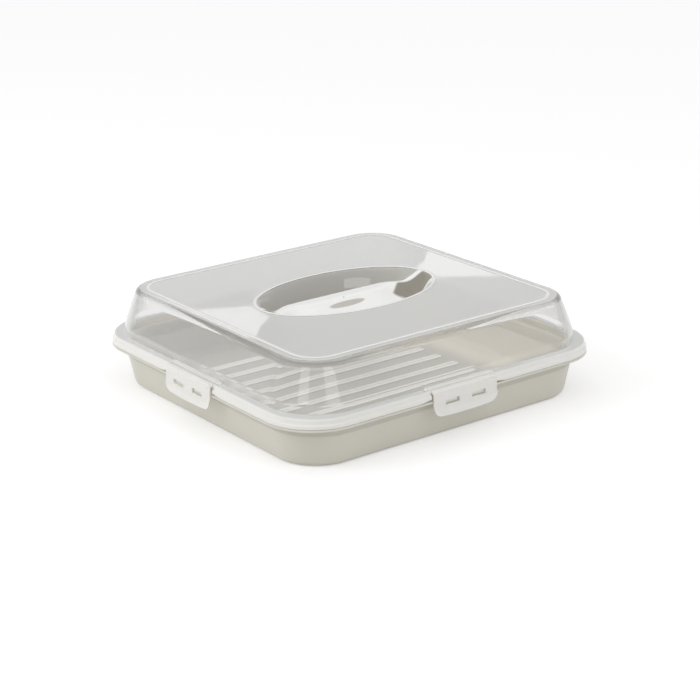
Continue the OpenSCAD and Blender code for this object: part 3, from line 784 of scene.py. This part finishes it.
def stageMesh(name, corners, material, faces=None):
    mesh = bpy.data.meshes.new(name)
    mesh.from_pydata([tuple(c) for c in corners], [], faces or [tuple(range(len(corners)))])
    mesh.materials.append(material)
    piece = bpy.data.objects.new(name, mesh)
    bpy.context.scene.collection.objects.link(piece)
    return piece


# 1 for the rays that show a thing, straight, mirrored or through clear plastic, and 0 for those that only
# carry light
def seenIn(tree):
    path = addNode(tree, "ShaderNodeLightPath").outputs
    seen = path["Is Camera Ray"]
    for ray in ("Is Transmission Ray", "Is Glossy Ray"):
        seen = addNode(tree, "ShaderNodeMath", {"operation": "MAXIMUM"}, {0: seen, 1: path[ray]})
    return seen


def square(half, level):
    return [(-half, -half, level), (half, -half, level), (half, half, level), (-half, half, level)]


paper = {"half": 8.0, "light": "#DCDCDC", "deep": "#DADADA", "fibre": 25.0, "roughness": 0.9, "glow": 0.42}


# Matt white paper, faintly mottled by its fibre, whose patches are in millimetres. What is seen of it is
# lifted to white, and it keeps the carrier's shadow
def makeFloor():
    material, tree = newMaterial("white_paper_sweep")
    fibre = addNode(tree, "ShaderNodeTexNoise", {}, {
        "Vector": placeOf(tree), "Scale": 1 / paper["fibre"], "Detail": 2.0})
    tone = addNode(tree, "ShaderNodeMix", asColour, {0: fibre, 6: paper["light"], 7: paper["deep"]})
    lift = addNode(tree, "ShaderNodeMath", {"operation": "MULTIPLY"}, {0: seenIn(tree), 1: paper["glow"]})
    shader = addNode(tree, "ShaderNodeBsdfPrincipled", {}, {
        "Base Color": tone, "Roughness": paper["roughness"], "Specular IOR Level": 0.0,
        "Emission Color": "#FFFFFF", "Emission Strength": lift})
    addNode(tree, "ShaderNodeOutputMaterial", {}, {"Surface": shader})
    stageMesh("floor", square(paper["half"], 0), material)


lamps = {
    "world": 0.42,
    "sun": 1.02, "sunAngle": 100.0, "sunTilt": (4.0, -14.0, 0.0),
    "panels": {"left": (10.0, (-1.7, 0.7, 0.9)), "right": (6.5, (0.6, -1.8, 0.9))},     # watts and place
    "panelSize": (0.9, 1.2), "aim": (0.0, 0.0, 0.04),
}


def makeWorld():
    world = bpy.data.worlds.new("studio")
    bpy.context.scene.world = world
    world.use_nodes = True
    tree = world.node_tree
    tree.nodes.clear()
    strength = addNode(tree, "ShaderNodeMapRange", {}, {
        "Value": seenIn(tree), "To Min": lamps["world"], "To Max": 1.0})
    glow = addNode(tree, "ShaderNodeBackground", {}, {"Color": "#FFFFFF", "Strength": strength})
    addNode(tree, "ShaderNodeOutputWorld", {}, {"Surface": glow})


def makeLamps():
    sun = bpy.data.lights.new("overhead", "SUN")
    sun.energy, sun.angle = lamps["sun"], math.radians(lamps["sunAngle"])
    lamp = bpy.data.objects.new("overhead", sun)
    lamp.rotation_euler = [math.radians(turn) for turn in lamps["sunTilt"]]
    lamp.visible_glossy = False
    bpy.context.scene.collection.objects.link(lamp)
    for name, (watts, where) in lamps["panels"].items():
        light = bpy.data.lights.new(name, "AREA")
        light.energy, light.shape = watts, "RECTANGLE"
        light.size, light.size_y = lamps["panelSize"]
        lamp = bpy.data.objects.new(name, light)
        lamp.location = where
        lamp.rotation_euler = (Vector(lamps["aim"]) - Vector(where)).to_track_quat("-Z", "Y").to_euler()
        lamp.visible_camera = lamp.visible_glossy = lamp.visible_transmission = False
        bpy.context.scene.collection.objects.link(lamp)


cards = {
    "behind": 1.2, "flagBehind": 1.3, "ground": 0.001,
    "rearFlag": (1.8, 0.7), "rearLight": (2.4, 1.25),       # half the width, and the upper edge
    "ringRadius": 2.9, "ringSides": 16, "ringHigh": 2.1, "ceilingHigh": 2.0,
    "flagShade": 0.8, "flagUpperShade": 0.3, "lightShade": 0.7, "ringShade": 0.5, "ceilingShade": 0.2,
    "cardShade": 1.6, "stripShade": 3.2,
    "shadeTurns": (350.0, 650.0),                           # levels in millimetres
    "stripBefore": 2.0, "stripEdges": (0.6, 1.05),
    "strips": {"leftStrip": (-15.5, -36.0), "rightStrip": (17.0, 50.0)},    # left and right of the camera
    # Where the two white cards behind show on the hood's flat top, as corners in millimetres
    "whites": {
        "leftCard": [(-190, 66), (-97, 17), (-101, -20), (-122, -35), (-149, -65), (-190, -95)],
        "rightCard": [(150, 60), (117, 27), (100, 17), (90, 5), (93, -23), (114, -38), (160, -72)]},
}


def card(name, shade, corners, upper=None, faces=None):
    material, tree = newMaterial(name + "_card")
    level = addNode(tree, "ShaderNodeSeparateXYZ", {}, {0: placeOf(tree)}).outputs["Z"]
    strength = addNode(tree, "ShaderNodeMapRange", smoothly, {
        "Value": level, "From Min": cards["shadeTurns"][0], "From Max": cards["shadeTurns"][1],
        "To Min": shade, "To Max": shade if upper is None else upper})
    light = addNode(tree, "ShaderNodeEmission", {}, {"Color": "#FFFFFF", "Strength": strength})
    addNode(tree, "ShaderNodeOutputMaterial", {}, {"Surface": light})
    piece = stageMesh(name, corners, material, faces)
    piece.visible_camera = piece.visible_diffuse = piece.visible_shadow = False
    piece.visible_transmission = piece.visible_volume_scatter = False


# Corners of an upright card that faces the camera, at a distance behind the carrier's middle
def upright(distance, left, right, low, high):
    return [forward * distance + sideways * aside + Vector((0, 0, level))
            for aside, level in ((left, low), (right, low), (right, high), (left, high))]


# The place at a distance behind that a point of the hood's top mirrors to the camera
def mirrored(x, y, distance):
    spot = Vector((x * mm, y * mm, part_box("hood")[1][2]))
    way = (spot - Vector(view["place"])).normalized()
    way.z = -way.z
    return spot + way * ((distance - spot.dot(forward)) / way.dot(forward))


# Cards stand round the carrier only for its gloss to mirror: grey flags, and white cards before them
def makeCards():
    ground, sides, radius = cards["ground"], cards["ringSides"], cards["ringRadius"]
    behind = cards["flagBehind"]
    (flagHalf, flagTop), (lightHalf, lightTop) = cards["rearFlag"], cards["rearLight"]
    rearFlag = upright(behind, -flagHalf, flagHalf, ground, flagTop)
    card("rear_flag", cards["flagShade"], rearFlag, cards["flagUpperShade"])
    card("rear_light", cards["lightShade"], upright(behind, -lightHalf, lightHalf, flagTop, lightTop))
    levels, turns = (ground, cards["ringHigh"]), [2 * math.pi * i / sides for i in range(sides)]
    ring = [(radius * math.cos(turn), radius * math.sin(turn), level) for turn in turns for level in levels]
    faces = [(2 * i, (2 * i + 2) % len(ring), (2 * i + 3) % len(ring), 2 * i + 1) for i in range(sides)]
    card("ring_flag", cards["ringShade"], ring, faces=faces)
    card("ceiling", cards["ceilingShade"], square(radius, cards["ceilingHigh"]))
    for name, corners in cards["whites"].items():
        card(name, cards["cardShade"], [mirrored(x, y, cards["behind"]) for x, y in corners])
    for name, strip in cards["strips"].items():
        ends = sorted(cards["stripBefore"] * math.tan(math.radians(turn)) for turn in strip)
        card(name, cards["stripShade"], upright(-cards["stripBefore"], *ends, *cards["stripEdges"]))


makeCamera()
makeFloor()
makeWorld()
makeLamps()
makeCards()
bpy.context.scene.view_settings.view_transform = "Standard"
